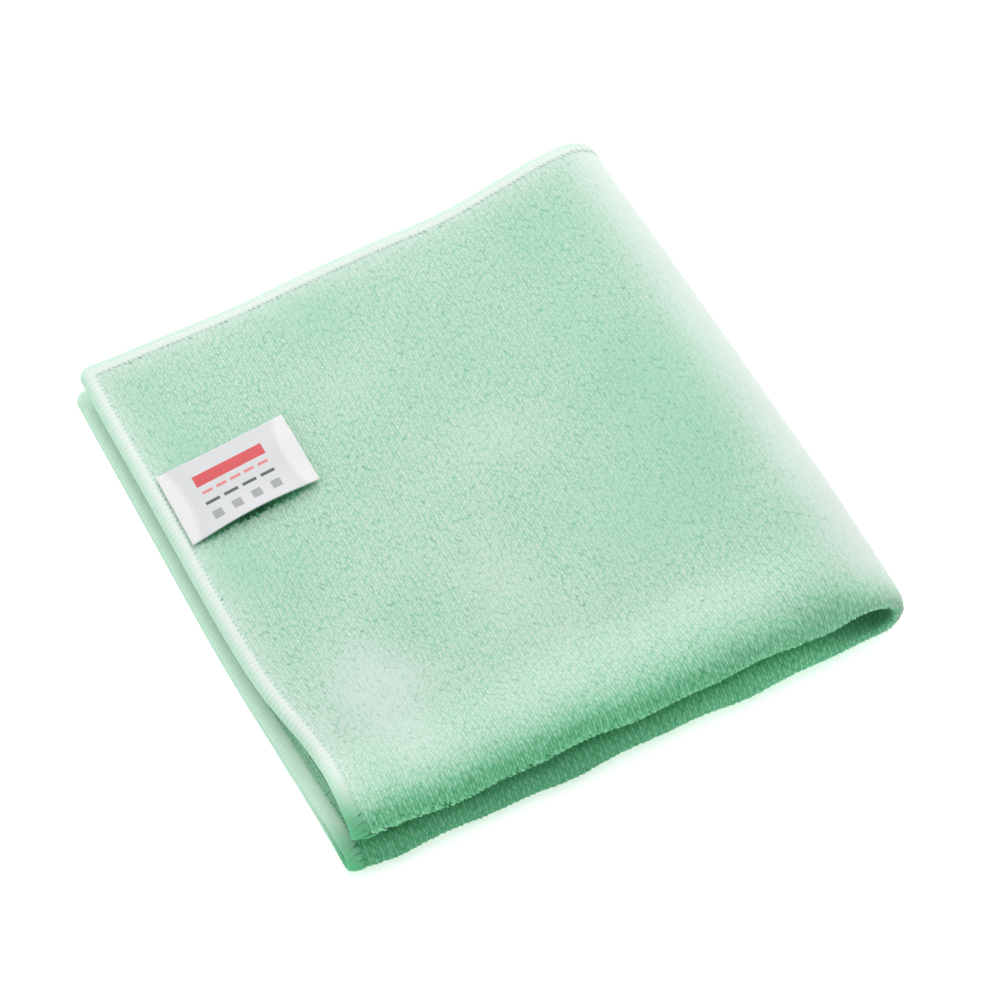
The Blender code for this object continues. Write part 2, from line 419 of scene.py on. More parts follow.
def stations(low, high, near_crease, body_step):
    """Distances either side of a crease at 0, fine at the crease and the hems."""
    sides = []
    for end in (-low, high):
        side = [0.0]
        for reach, steps in near_crease:
            side.extend(np.linspace(side[-1], reach, steps + 1)[1:])
        body = int(round((end - HEM_WIDTH - side[-1]) / body_step))
        side.extend(np.linspace(side[-1], end - HEM_WIDTH, body + 1)[1:])
        side.extend(np.linspace(end - HEM_WIDTH, end, HEM_POINTS)[1:])
        sides.append(np.array(side))
    return np.concatenate((-sides[0][:0:-1], sides[1]))


def round_corners(flat, low, high, radius):
    """Pull the square's corners in to a quarter circle."""
    centre, reach = (low + high) / 2, (high - low) / 2 - radius
    past = np.maximum(np.abs(flat - centre) - reach, 0.0)
    longest = np.linalg.norm(past, axis=-1, keepdims=True)
    keep = np.where(past.min(axis=-1, keepdims=True) > 0,
                    past.max(axis=-1, keepdims=True) / np.maximum(longest, 1e-9), 1.0)
    return centre + np.sign(flat - centre) * (np.minimum(np.abs(flat - centre), reach) + past * keep)


def grid_sheet(name, columns, rows, place):
    """A grid primitive whose points are put where place(column, row) says."""
    bpy.ops.object.select_all(action="DESELECT")
    bpy.ops.mesh.primitive_grid_add(x_subdivisions=len(columns) - 1,
                                    y_subdivisions=len(rows) - 1, size=1.0)
    piece = bpy.context.object
    piece.name = piece.data.name = name
    flat = np.array([vertex.co[:2] for vertex in piece.data.vertices])
    column = columns[np.rint((flat[:, 0] + 0.5) * (len(columns) - 1)).astype(int)]
    row = rows[np.rint((flat[:, 1] + 0.5) * (len(rows) - 1)).astype(int)]
    piece.data.vertices.foreach_set("co", place(column, row).ravel())
    layer = piece.data.uv_layers[0]
    layer.name = "flat"
    corner = np.array([loop.vertex_index for loop in piece.data.loops])
    layer.data.foreach_set("uv", np.stack((column, row), -1)[corner].ravel() / UV_UNIT)
    return piece


# %% Apply modifiers and count triangles


def apply_modifier(piece, kind, **settings):
    """Add a modifier, set it and apply it at once."""
    modifier = piece.modifiers.new(kind.lower(), kind)
    for setting, value in settings.items():
        setattr(modifier, setting, value)
    bpy.ops.object.select_all(action="DESELECT")
    piece.select_set(True)
    bpy.context.view_layer.objects.active = piece
    bpy.ops.object.modifier_apply(modifier=modifier.name)


def triangles(piece):
    """How many triangles a piece has."""
    return sum(len(face.vertices) - 2 for face in piece.data.polygons)


# %% Fold the ground sheet
# Beside each crease: where a zone ends, and its steps
BESIDE_SECOND = ((20 * MM, 20), (55 * MM, 12))
BESIDE_FIRST = ((8 * MM, 10), (38 * MM, 8))
BODY_STEP = 6 * MM

ground_low, ground_high = FLAT_LOW + EDGE_INSET, FLAT_HIGH - EDGE_INSET
ground_columns = stations(ground_low[0], ground_high[0], BESIDE_SECOND, BODY_STEP)
ground_rows = stations(ground_low[1], ground_high[1], BESIDE_FIRST, BODY_STEP)


def ground_place(over, back):
    """Round the corners of the flat place, then fold it."""
    flat = round_corners(np.stack((over, back), -1), ground_low, ground_high, CORNER_RADIUS)
    return folded(flat[:, 0], flat[:, 1])


ground = grid_sheet("cloth_ground", ground_columns, ground_rows, ground_place)
apply_modifier(ground, "SOLIDIFY", thickness=GROUND, offset=0.0)
ground.data.shade_smooth()
print("ground", triangles(ground), "triangles")

# %% [markdown]
# ## The pile
#
# The pile is thousands of short split-fibre tufts in knitted rows, brushed flat along
# them. One tuft is modelled as a small four-sided bud and planted all over,
# a little over twice as long as it is wide. Each copy gets its own turn, size and
# lean, because equal tufts would show as a machine pattern. Particles could do it
# too, but they don't leave the script as plain meshes. Buds of 14 triangles keep
# all of them affordable.

# %% Model one tuft
BUD_BODY = 0.55
BUD_TIP = 0.45
# A foot wider than the bud closes the pile, so that no dark hollow shows between tufts
BUD_SKIRT = 1.25


def one_tuft(name):
    """A four-sided bud, one unit wide each way from its middle and one unit high."""
    bpy.ops.object.select_all(action="DESELECT")
    bpy.ops.mesh.primitive_cylinder_add(vertices=4, radius=1.0, depth=BUD_BODY,
                                        location=(0.0, 0.0, BUD_BODY / 2))
    bud = bpy.context.object
    bud.name = name
    bpy.ops.object.transform_apply(location=True)
    bpy.ops.object.mode_set(mode="EDIT")
    bpy.ops.mesh.select_all(action="DESELECT")
    bpy.ops.object.mode_set(mode="OBJECT")
    for face in bud.data.polygons:
        face.select = face.normal.z > 0.9
    bpy.ops.object.mode_set(mode="EDIT")
    bpy.ops.mesh.extrude_region_move(TRANSFORM_OT_translate={"value": (0.0, 0.0, BUD_TIP)})
    bpy.ops.mesh.merge(type="CENTER")
    bpy.ops.object.mode_set(mode="OBJECT")
    for vertex in bud.data.vertices:
        if vertex.co.z < BUD_BODY / 2:
            vertex.co.x *= BUD_SKIRT
            vertex.co.y *= BUD_SKIRT
    return bud


tuft = one_tuft("tuft_pattern")
print("one tuft:", len(tuft.data.vertices), "points,", triangles(tuft), "triangles")

# %% Plant copies of a shape as one mesh


def copies(name, pattern, points, layers):
    """Join many copies of a pattern: points is copies x vertices x 3, layers its UVs."""
    corners = np.concatenate([face.vertices[:] for face in pattern.data.polygons])
    sizes = np.array([len(face.vertices) for face in pattern.data.polygons])
    count, each = points.shape[:2]
    shift = np.arange(count)[:, None] * each
    mesh = bpy.data.meshes.new(name)
    mesh.vertices.add(count * each)
    mesh.vertices.foreach_set("co", points.ravel())
    mesh.loops.add(count * len(corners))
    mesh.loops.foreach_set("vertex_index", (corners + shift).ravel())
    mesh.polygons.add(count * len(sizes))
    starts = np.concatenate(((0,), np.cumsum(np.tile(sizes, count))[:-1]))
    mesh.polygons.foreach_set("loop_start", starts)
    for layer, marks in layers.items():
        mesh.uv_layers.new(name=layer).data.foreach_set("uv", marks[:, corners].ravel())
    mesh.update(calc_edges=True)
    mesh.shade_smooth()
    piece = bpy.data.objects.new(name, mesh)
    bpy.context.scene.collection.objects.link(piece)
    return piece


def soften(piece, outward, share):
    """Lean a piece's shading towards the cloth's own, as light does among fine fibres."""
    own = np.empty(len(piece.data.vertices) * 3)
    piece.data.vertex_normals.foreach_get("vector", own)
    leaning = unit(own.reshape(-1, 3) * (1 - share) + outward.reshape(-1, 3) * share)
    piece.data.normals_split_custom_set_from_vertices(leaning)


# %% Name where the pile gets painted shade and painted highlight, and its soft patches
# Painted shade fades over this reach from the front crease, and is lessened near the loop
CREASE_REACH = 10.6 * MM
LOOP_REACH = 14 * MM
LOOP_LESS_SHADE = 0.7
# Painted highlight, pale round the loop and along the hems
LOOP_HIGHLIGHT = 12.5 * MM
LOOP_HIGHLIGHT_AT = 5 * MM
HIGHLIGHT_FROM_CREASE = 7 * MM
HEM_HIGHLIGHT = 0.55
HEM_HIGHLIGHT_REACH = 9 * MM
# Painted shade near the loop and far from it, for the upper and the lower pair of layers
UPPER_SHADE = (0.66, 1.02)
UNDER_SHADED = (0.78, 1.38)
UNDER_SPREAD = 130 * MM
# Painted shade inside the folds, deepest in the loop's hollow
INSIDE_SHADE = 0.45
INSIDE_DEPTH = 16 * MM
CAVITY_SHADED = 0.95
CAVITY_REACH = 30 * MM
CAVITY_RIM = 4 * MM
# Painted shadow under the label's lifted front edge
LABEL_SHADE = 2.0
LABEL_SHADE_EDGE = 1.4 * MM
LABEL_SHADE_REACH = 5 * MM
# Place, spread in mm and tone of soft patches in the top: above 0 matted, below 0 fluffed
PATCHES = (
    (70, 71, 22, 0.5), (62, 36, 18, 0.35), (64, 9, 22, 0.6), (70, -20, 18, 0.5), (46, -38, 20, 0.5),
    (80, -62, 9, 0.4), (-20, 85, 15, 0.6), (-79, 59, 12, 0.5), (-82, 6, 14, 0.6), (-66, -10, 14, 0.35),
    (-46, -36, 10, 0.4), (-82, 84, 12, 0.3), (-63, -54, 17, -1.0), (-62, -80, 14, -0.5),
    (-11, -30, 16, -0.45), (9, 16, 16, -0.35), (-20, 57, 16, -0.4), (8, -70, 22, -0.4),
    (50, -72, 18, -0.35),
)
print(len(PATCHES), "soft patches")

# %% Work out how a place of the pile looks


def off_hem(flat):
    """How far flat places are from the cloth's edge."""
    return np.minimum(flat - FLAT_LOW, FLAT_HIGH - flat).min(axis=-1)


def painted_highlight_share(flat):
    """How much painted highlight makes the pile pale, round the loop and along the hems."""
    over, back = flat[:, :1], flat[:, 1:]
    at_loop = (np.exp(-((over - LOOP_HIGHLIGHT_AT) / LOOP_HIGHLIGHT) ** 2) * (back > 0)
               * smooth(back / HIGHLIGHT_FROM_CREASE))
    return np.maximum(at_loop, HEM_HIGHLIGHT * np.exp(-(off_hem(flat)[:, None] / HEM_HIGHLIGHT_REACH) ** 2))


def patch_tone(place):
    """Tone of the soft patches at places of the folded cloth."""
    tone = np.zeros(len(place))
    for x, y, spread, amount in PATCHES:
        away = np.hypot(place[:, 0] - x * MM, place[:, 1] - y * MM)
        tone += amount * np.exp(-(away / (spread * MM)) ** 2)
    return tone


def painted_shade_share(over, back):
    """How much painted shade the pile gets: up to 1 the folds' deep green, above 1 deeper shade as
    well.
    """
    near_crease = np.exp(-(back / CREASE_REACH) ** 2)
    painted_shade = near_crease * (1 - LOOP_LESS_SHADE * np.exp(-(over / LOOP_REACH) ** 2))
    far = smooth(np.abs(over) / UNDER_SPREAD)
    upper, shaded = (low + (high - low) * far for low, high in (UPPER_SHADE, UNDER_SHADED))
    painted_shade = painted_shade * np.where(over < 0, shaded, upper)
    # Painted shadow under the label's lifted front edge
    along, across = on_label(over, back)
    within = across + LABEL_WIDTH / 2
    below = smooth(within / LABEL_SHADE_EDGE + 0.5) * np.exp(-(within / LABEL_SHADE_REACH) ** 2)
    painted_shade = painted_shade + LABEL_SHADE * below * np.sin(pi * np.clip(along / LABEL_LENGTH, 0.0, 1.0))
    # Painted shade inside the folds, deepest in the loop's hollow
    inside = INSIDE_SHADE + (shaded - INSIDE_SHADE) * np.exp(-(back / INSIDE_DEPTH) ** 2)
    cavity = np.exp(-(over / CAVITY_REACH) ** 2) * smooth(-back / CAVITY_RIM)
    return np.where(back < 0, inside + CAVITY_SHADED * cavity, painted_shade)


# %% Say where the tufts stand
WALE = 1.06 * MM
COURSE = 1.85 * MM
# How far a tuft strays, as a share of the wale and of the course
STRAY = (0.07, 0.16)


def knitted_places(seed):
    """Flat places of all the cloth's tufts, in rows that wander a little."""
    spread = np.random.default_rng(seed)
    across = WALE * np.arange(int(FLAT_LOW[0] / WALE), int(FLAT_HIGH[0] / WALE) + 1)
    along = np.arange(FLAT_LOW[1], FLAT_HIGH[1], COURSE)
    over, back = (places.ravel() for places in np.meshgrid(across, along, indexing="ij"))
    stagger = COURSE / 2 * (np.rint(over / WALE) % 2)
    over = over + spread.normal(0.0, STRAY[0], over.shape) * WALE
    back = back + stagger + spread.normal(0.0, STRAY[1], back.shape) * COURSE
    return np.stack((over, back), -1)


places = knitted_places(11)
print(len(places), "places for tufts on both faces")

# %% Say how a tuft is planted
LOW_WALE = 0.85
TUFT_HALF_WIDTH = 0.76 * MM
TUFT_HALF_LENGTH = 1.70 * MM
TUFT_HEIGHT = 0.68 * MM
TUFT_SIZES = (0.88, 1.12)
TUFT_HEIGHTS = (0.86, 1.1)
TUFT_SOFTNESS = 0.86
TUFT_SUNK = 0.15 * MM
TUFT_LEAN = (0.14 * MM, 0.22 * MM)
NAP_LEAN = -0.25 * MM
TUFT_TURN = 0.10
# How much of a tuft's tone is its own, and not its wale's
OWN_TONE = 0.45
LOOP_SPLAY = 0.3
PILE_CLEAR = HEM_WIDTH - 2.6 * MM
CORNER_FLAT = 0.3


def plant_tufts(name, flat, height, seed):
    """Plant a tuft at each flat place, on the cloth's outward face."""
    spread = np.random.default_rng(seed)
    flat = flat[off_hem(flat) > PILE_CLEAR]
    over, back = flat[:, :1], flat[:, 1:]
    count = len(flat)
    bud = np.array([vertex.co for vertex in tuft.data.vertices])
    spin = spread.uniform(0, 2 * pi, (count, 1))
    outside = back > 0
    near_loop = np.exp(-(over / LOOP_REACH) ** 2) * outside
    size = spread.uniform(*TUFT_SIZES, (count, 1)) * (1 + LOOP_SPLAY * near_loop)
    turn = spread.normal(0.0, TUFT_TURN, (count, 1))
    high_wale = 1.0 - np.rint(over / WALE) % 2
    tall = height * spread.uniform(*TUFT_HEIGHTS, (count, 1))
    tall = tall * (LOW_WALE + (1 - LOW_WALE) * high_wale)
    # Where the two creases meet, the pile lies flat round the tight bend
    bend = np.exp(-(over / LOOP_REACH) ** 2 - (back / CREASE_REACH) ** 2)
    tall = tall * (1 - CORNER_FLAT * bend)
    lean = spread.normal(0.0, TUFT_LEAN, (count, 2)) + (0.0, NAP_LEAN)
    rise = bud[:, 2] * np.ones((count, 1))
    out_x = (bud[:, 0] * np.cos(spin) - bud[:, 1] * np.sin(spin)) * size * TUFT_HALF_WIDTH
    out_y = (bud[:, 0] * np.sin(spin) + bud[:, 1] * np.cos(spin)) * size * TUFT_HALF_LENGTH
    move_across = out_x * np.cos(turn) - out_y * np.sin(turn) + lean[:, :1] * rise
    move_along = out_x * np.sin(turn) + out_y * np.cos(turn) + lean[:, 1:] * rise
    move_up = GROUND / 2 - TUFT_SUNK + rise * (tall + TUFT_SUNK)
    # Each point is folded with the cloth, so tufts hug the tight bends. Over, back and
    # outward are left-handed, and would turn the tufts inside out without the minus.
    seat, outward = on_cloth(over - move_across, back + move_along)
    points = seat + outward * move_up[..., None]
    points[..., 2] = np.maximum(points[..., 2], 0.0)
    # Painted shade and painted highlight for each tuft
    shade_mark = painted_shade_share(over, back)
    highlight_mark = painted_highlight_share(flat)
    tone = patch_tone(folded(flat[:, 0], flat[:, 1]))[:, None] * (outside & (over > 0))
    own = spread.random((count, 1)) * OWN_TONE + high_wale * (1 - OWN_TONE)
    every = np.ones(len(bud))
    piece = copies(name, tuft, points, {"tuft": np.stack((own * every, rise), -1),
                                        "crease": np.stack((shade_mark * every, highlight_mark * every), -1),
                                        "patch": np.stack((tone * every, tone * every), -1)})
    soften(piece, outward, TUFT_SOFTNESS)
    return piece


# %% Plant the pile
# Inside, only the tufts near the creases and hems can be seen
CREASE_SEEN = 18 * MM
HEM_SEEN = 10 * MM
INSIDE_LOW = 0.8

outside = places[:, 1] > 0
strip = np.digitize(places[:, 0], (-100 * MM, 0.0, 100 * MM))
names = ("pile_under_left", "pile_under_right", "pile_top_right", "pile_top_left")
pile = [plant_tufts(name, places[outside & (strip == number)], TUFT_HEIGHT, 21 + number)
        for number, name in enumerate(names)]
seen = (off_hem(places) < HEM_SEEN) | (np.abs(places).min(axis=-1) < CREASE_SEEN)
pile.append(plant_tufts("pile_inside", places[~outside & seen], TUFT_HEIGHT * INSIDE_LOW, 32))
bpy.data.objects.remove(tuft)
for piece in pile:
    print(piece.name, triangles(piece), "triangles")

# %% [markdown]
# ## The overlocked hems
#
# An overlock wraps thread round the raw edge and locks it with a needle line. The
# photograph shows it as slanted ribs with small teeth at their inner ends. One rib is
# a six-sided rod, cut into rings along its length. Each copy is bent over the edge,
# from the upper needle line to the lower one, a little slanted, and tapers at its
# ends. A rib stands for a bundle of threads, and its finish draws the threads.

# %% Walk round the flat outline
CORNER_POINTS = 9


def flat_outline():
    """Points round the flat cloth's rounded outline, and how far along they are."""
    low, high = FLAT_LOW + CORNER_RADIUS, FLAT_HIGH - CORNER_RADIUS
    corners = ((high[0], high[1]), (low[0], high[1]), (low[0], low[1]), (high[0], low[1]))
    points = [np.array(corner) + CORNER_RADIUS * np.array((cos(angle), sin(angle)))
              for number, corner in enumerate(corners)
              for angle in np.linspace(number * pi / 2, (number + 1) * pi / 2, CORNER_POINTS)]
    points.append(points[0])
    points = np.array(points)
    steps = np.linalg.norm(np.diff(points, axis=0), axis=1)
    return points, np.concatenate(((0.0,), np.cumsum(steps)))


outline_points, outline_at = flat_outline()
hem_length = outline_at[-1]
print("hem", round(hem_length, 3), "m round")


def hem_place(along, share):
    """Flat place in the hem: share is 0 at the edge and 1 at the needle line."""
    edge = np.stack([np.interp(along % hem_length, outline_at, outline_points[:, axis])
                     for axis in (0, 1)], -1)
    needle_line = np.clip(edge, FLAT_LOW + HEM_WIDTH, FLAT_HIGH - HEM_WIDTH)
    return edge + (needle_line - edge) * share[..., None]


# %% Model a rod with rings


def rod(name, rings, sides=6):
    """A rod of one unit half width with evenly spaced rings, from y 0 to y 1."""
    bpy.ops.object.select_all(action="DESELECT")
    bpy.ops.mesh.primitive_cylinder_add(vertices=sides, radius=1.0, depth=1.0,
                                        location=(0.0, 0.5, 0.0), rotation=(pi / 2, 0.0, 0.0))
    made = bpy.context.object
    made.name = name
    bpy.ops.object.transform_apply(location=True, rotation=True)
    bpy.ops.object.mode_set(mode="EDIT")
    bpy.ops.mesh.select_mode(type="EDGE")
    bpy.ops.mesh.select_all(action="DESELECT")
    bpy.ops.object.mode_set(mode="OBJECT")
    for edge in made.data.edges:
        start, end = (made.data.vertices[point].co for point in edge.vertices)
        edge.select = abs(start.y - end.y) > 0.5
    bpy.ops.object.mode_set(mode="EDIT")
    bpy.ops.mesh.subdivide(number_cuts=rings - 2)
    bpy.ops.mesh.select_mode(type="VERT")
    bpy.ops.object.mode_set(mode="OBJECT")
    return made


# %% Lay threads along the hem
THREAD_SOFTNESS = 0.78
THREAD_SHADED = 16 * MM
# Between the two left hems the thread lies in a groove, and painted shade darkens it there
GROOVE_FROM = 150 * MM
GROOVE_LOWER = 0.36
GROOVE_UPPER = 0.06
GROOVE_INNER = 0.7
# A whole number below this sets a thread's UVs apart, and leaves its strands as they are
THREAD_SETS = 50
# A step towards the edge, which shows which way is off the cloth there
NEARER = 0.02


def lay_threads(name, pattern, along, share, height, tilt, half_width, half_height, seed):
    """Bend a rod through stations: each argument is copies x rings, or one row for all."""
    spread = np.random.default_rng(seed)
    along, share, height, tilt, half_width, half_height = np.broadcast_arrays(
        along, share, height, tilt, half_width, half_height)
    flat = hem_place(along, share)
    place, outward = on_cloth(flat[..., 0], flat[..., 1])
    nearer = hem_place(along, share - NEARER)
    off_edge = unit(folded(nearer[..., 0], nearer[..., 1]) - place)
    centre = place + outward * height[..., None]
    path = unit(np.gradient(centre, axis=1))
    lift = outward * np.sin(tilt)[..., None] + off_edge * np.cos(tilt)[..., None]
    side = unit(np.cross(path, lift))
    lift = unit(np.cross(side, path))
    rod_points = np.array([vertex.co for vertex in pattern.data.vertices])
    ring = np.rint(rod_points[:, 1] * (along.shape[1] - 1)).astype(int)
    points = (centre[:, ring]
              + side[:, ring] * (half_width[:, ring] * rod_points[:, 0])[..., None]
              + lift[:, ring] * (half_height[:, ring] * rod_points[:, 2])[..., None])
    points[..., 2] = np.maximum(points[..., 2], 0.0)
    count = len(along)
    around = np.arctan2(rod_points[:, 2], rod_points[:, 0]) / pi
    marks = np.stack((spread.integers(0, THREAD_SETS, (count, 1)) + around * 0.5 + 0.5,
                      rod_points[:, 1] * np.ones((count, 1))), -1)
    # Painted shade: darker near the front crease, and in the groove between the left hems
    shaded = np.exp(-(flat[:, ring, 1] / THREAD_SHADED) ** 2)
    inner = smooth(share[:, ring] / GROOVE_INNER)
    groove = np.where(flat[:, ring, 0] < 0, GROOVE_LOWER * inner, GROOVE_UPPER * (1 - inner))
    shaded = np.maximum(shaded, groove * (np.abs(flat[:, ring, 0]) > GROOVE_FROM))
    piece = copies(name, pattern, points, {"thread": marks,
                                           "crease": np.stack((shaded, shaded), -1)})
    soften(piece, lift[:, ring], THREAD_SOFTNESS)
    return piece


# %% Wrap the edge
RIB_PITCH = 1.75 * MM
RIB_HALF_WIDTH = 1.30 * MM
RIB_HALF_HEIGHT = 0.34 * MM
RIB_HEIGHTS = (0.9, 1.1)
RIB_SLANT = 1.3 * MM
# Past this share a rib's tip strays, by this share
RIB_TIP = 0.9
RIB_STRAY = 0.02
# Share from edge to needle line, height off the cloth's middle in mm, tilt, width
RIB_STATIONS = np.array((
    (1.14, 1.05, 90, 0.18), (1.02, 1.30, 90, 0.42), (0.86, 1.55, 90, 0.85),
    (0.50, 1.50, 88, 1.00), (0.22, 1.20, 70, 1.00), (0.08, 0.70, 40, 1.00),
    (0.05, 0.00, 0, 1.00),
    (0.08, -0.70, -40, 1.00), (0.22, -1.20, -70, 1.00), (0.50, -1.50, -88, 1.00),
    (0.86, -1.55, -90, 0.85), (1.02, -1.30, -90, 0.42), (1.14, -1.05, -90, 0.18),
))
rib_share, rib_height, rib_tilt, rib_width = RIB_STATIONS.T
rib_count = int(hem_length / RIB_PITCH)
rib_at = np.arange(rib_count)[:, None] * hem_length / rib_count
rib_slant = RIB_SLANT * rib_share * np.sign(rib_height)
wobble = np.random.default_rng(41)
rib_reach = rib_share + wobble.normal(0.0, RIB_STRAY, (rib_count, 1)) * (rib_share > RIB_TIP)
rib_pattern = rod("rib_pattern", len(RIB_STATIONS))
hem_ribs = lay_threads("hem_ribs", rib_pattern, rib_at + rib_slant, rib_reach,
                       rib_height * MM, np.radians(rib_tilt), rib_width * RIB_HALF_WIDTH,
                       RIB_HALF_HEIGHT * wobble.uniform(*RIB_HEIGHTS, (rib_count, 1)), 42)
bpy.data.objects.remove(rib_pattern)
print("ribs", rib_count, triangles(hem_ribs), "triangles")

# %% Sew the needle line
STITCH = 2.6 * MM
STITCH_HALF = 0.22 * MM
# Along the hem in mm, share from edge to needle line, height off the cloth's middle in mm
STITCH_STATIONS = np.array((
    (-1.15, 0.900, 0.90), (-0.70, 0.915, 1.40), (0.0, 0.930, 1.52),
    (0.70, 0.945, 1.40), (1.15, 0.960, 0.90),
))
stitch_along, stitch_share, stitch_height = STITCH_STATIONS.T
stitch_count = int(hem_length / STITCH)
stitch_at = np.arange(stitch_count)[:, None] * hem_length / stitch_count
stitch_pattern = rod("stitch_pattern", len(STITCH_STATIONS), 5)
needle_lines = [
    lay_threads(name, stitch_pattern, stitch_at + stitch_along * MM, stitch_share,
                face * stitch_height * MM, np.radians(90.0 * face), STITCH_HALF, STITCH_HALF, seed)
    for name, face, seed in (("needle_line_outside", 1, 43), ("needle_line_inside", -1, 44))]
bpy.data.objects.remove(stitch_pattern)
print("stitches", stitch_count, triangles(needle_lines[0]), "triangles each line")

# %% [markdown]
# ## The label
#
# The label is a strip of white satin tape, sewn down along its left end and lifting
# a little at its free end. It is a sheet too: a grid laid on the folded cloth
# through the same function, then bowed up and given a thin wall.

# %% Lay the label on the cloth
LABEL_POINTS = (47, 29)
TAPE_EDGE = 0.12 * MM


def label_place(along, across):
    """A point of the label, along from its sewn end and across from its middle."""
    point = folded(SECOND_CREASE - LABEL_FROM_HEM - along,
                   LABEL_FROM_CREASE + across + LABEL_TURN * along)
    share = along / LABEL_LENGTH
    ripple = LABEL_RIPPLE * np.sin(across * RIPPLE_TURNS + RIPPLE_START) * smooth(share * 2)
    curl = LABEL_CURL * np.clip(-across / (LABEL_WIDTH / 2), 0.0, 1.0) ** 2
    bow = (LABEL_BOW + curl) * np.sin(pi * share)
    point[..., 2] += LABEL_OFF + LABEL_LIFT * share ** 2 + bow + ripple
    return point


label = grid_sheet("sewn_label", np.linspace(0.0, LABEL_LENGTH, LABEL_POINTS[0]),
                   np.linspace(-LABEL_WIDTH / 2, LABEL_WIDTH / 2, LABEL_POINTS[1]), label_place)
apply_modifier(label, "SOLIDIFY", thickness=LABEL_TAPE, offset=0.0)
apply_modifier(label, "BEVEL", width=TAPE_EDGE, segments=2, limit_method="ANGLE")
label.data.shade_smooth()
print("label", triangles(label), "triangles")

# %% [markdown]
# ## Finishes
# Shade is painted into the colour too: deep green on the front folds, deeper in the loop's hollow,
# inside the folds and under the label's edge. A painted highlight makes the pile pale round the loop
# and along the hems.
#
# The fibre itself is a clear mint green. Its tips scatter light and look almost
# white, and its roots lie in the shade of the pile and stay deep. So each tuft runs
# from a deep root to a pale tip, by the height that its UV map carries, and each has
# a slightly different colour of its own. Broad soft patches come from a mark on each
# tuft and from noise on Object coordinates. A sheen stands for the finest fibres.
# Image textures could do this too, but would tie the look to one size of picture.

# %% Name the pile's colours
PILE_ROOT = (0.35, 0.68, 0.47, 1.0)
PILE_TIP = (0.57, 0.78, 0.66, 1.0)
PALE_TIP = (0.76, 0.86, 0.80, 1.0)
MATTED = (0.36, 0.71, 0.50, 1.0)
FLUFFED = (0.78, 0.89, 0.83, 1.0)
HIGHLIGHT_TINT = (0.87, 0.95, 0.90, 1.0)
PAINTED_SHADE_ROOT = (0.10, 0.47, 0.215, 1.0)
PAINTED_SHADE_TIP = (0.36, 0.82, 0.53, 1.0)
SHADED = (0.025, 0.155, 0.065, 1.0)
# Turns of noise for each metre, and how far the patches are shifted and deepened
PATCH_NOISE = 22.0
FIBRE_NOISE = 1400.0
PATCH_LEVEL = 0.48
PATCH_DEPTH = 1.2
# Where up a tuft its tip begins, and how soon it is reached
TIP_START = 0.52
TIP_STEEP = 2.2
# The strongest share of each tone that is laid over the pile's own
PATCH_MOST = 0.6
HIGHLIGHT_MOST = 0.88
PAINTED_SHADE_GAIN = 1.15
FIBRE_BUMP = 0.25 * MM

# %% Dye the pile
pile_finish = Finish("pile_fibre", {
    "Roughness": 0.85, "Specular IOR Level": 0.05, "Sheen Weight": 0.1, "Sheen Roughness": 0.5})
own, height, _ = pile_finish.split(pile_finish.place("tuft"))
shade_mark, highlight_mark, _ = pile_finish.split(pile_finish.place("crease"))
patch, _, _ = pile_finish.split(pile_finish.place("patch"))
where = pile_finish.place()
patch = patch + (pile_finish.noise(where, PATCH_NOISE, 2.0, 0.55) - PATCH_LEVEL) * PATCH_DEPTH
fibres = pile_finish.noise(where, FIBRE_NOISE, 2.0, 0.6)
rise = ((height - TIP_START) * TIP_STEEP * (0.75 + fibres * 0.5)).capped()
tip = pile_finish.blend(own, PILE_TIP, PALE_TIP)
pile_colour = pile_finish.blend(rise, PILE_ROOT, tip)
matted = pile_finish.blend(patch.capped() * PATCH_MOST, pile_colour, MATTED)
fluffed = pile_finish.blend((0 - patch).capped() * PATCH_MOST, matted, FLUFFED)
# Painted highlight makes the pile pale round the loop and along the hems
highlighted = pile_finish.blend(highlight_mark * HIGHLIGHT_MOST, fluffed, HIGHLIGHT_TINT)
# Painted shade: the deep green of the front folds, and deeper shade in the hollow, inside and under
# the label
shade_pile_colour = pile_finish.blend(rise * (0.4 + own * 0.6), PAINTED_SHADE_ROOT, PAINTED_SHADE_TIP)
painted_shade = pile_finish.blend((shade_mark * PAINTED_SHADE_GAIN).capped(), highlighted, shade_pile_colour)
pile_finish.colour(pile_finish.blend((shade_mark - 1).capped(), painted_shade, SHADED))
pile_finish.bump(fibres, FIBRE_BUMP, 0.3)
for piece in pile:
    paint(piece, pile_finish)

# %% Dye the ground
KNIT_BUMP = 0.3 * MM
# The ground's painted shade and painted highlight reach this much further than the pile's
GROUND_REACH = 1.5
GROUND_HIGHLIGHT = 0.7

ground_finish = Finish("knit_ground", {"Roughness": 0.95, "Specular IOR Level": 0.1})
across, along, _ = ground_finish.split(ground_finish.place("flat"))
wales = (across * (pi * UV_UNIT / WALE)).sine() * 0.5 + 0.5
near_crease = (1 - along * (UV_UNIT / CREASE_REACH / GROUND_REACH)).capped()
off_loop = (abs(across) * (UV_UNIT / LOOP_REACH / GROUND_REACH) + (along < 0)).capped()
knit = ground_finish.blend(wales, PILE_ROOT, PILE_TIP)
# Painted highlight near the loop, and painted shade near the front crease
knit = ground_finish.blend((1 - off_loop) * GROUND_HIGHLIGHT, knit, HIGHLIGHT_TINT)
ground_finish.colour(ground_finish.blend(near_crease * off_loop, knit, PAINTED_SHADE_ROOT))
ground_finish.bump(wales, KNIT_BUMP, 0.8)
paint(ground, ground_finish)

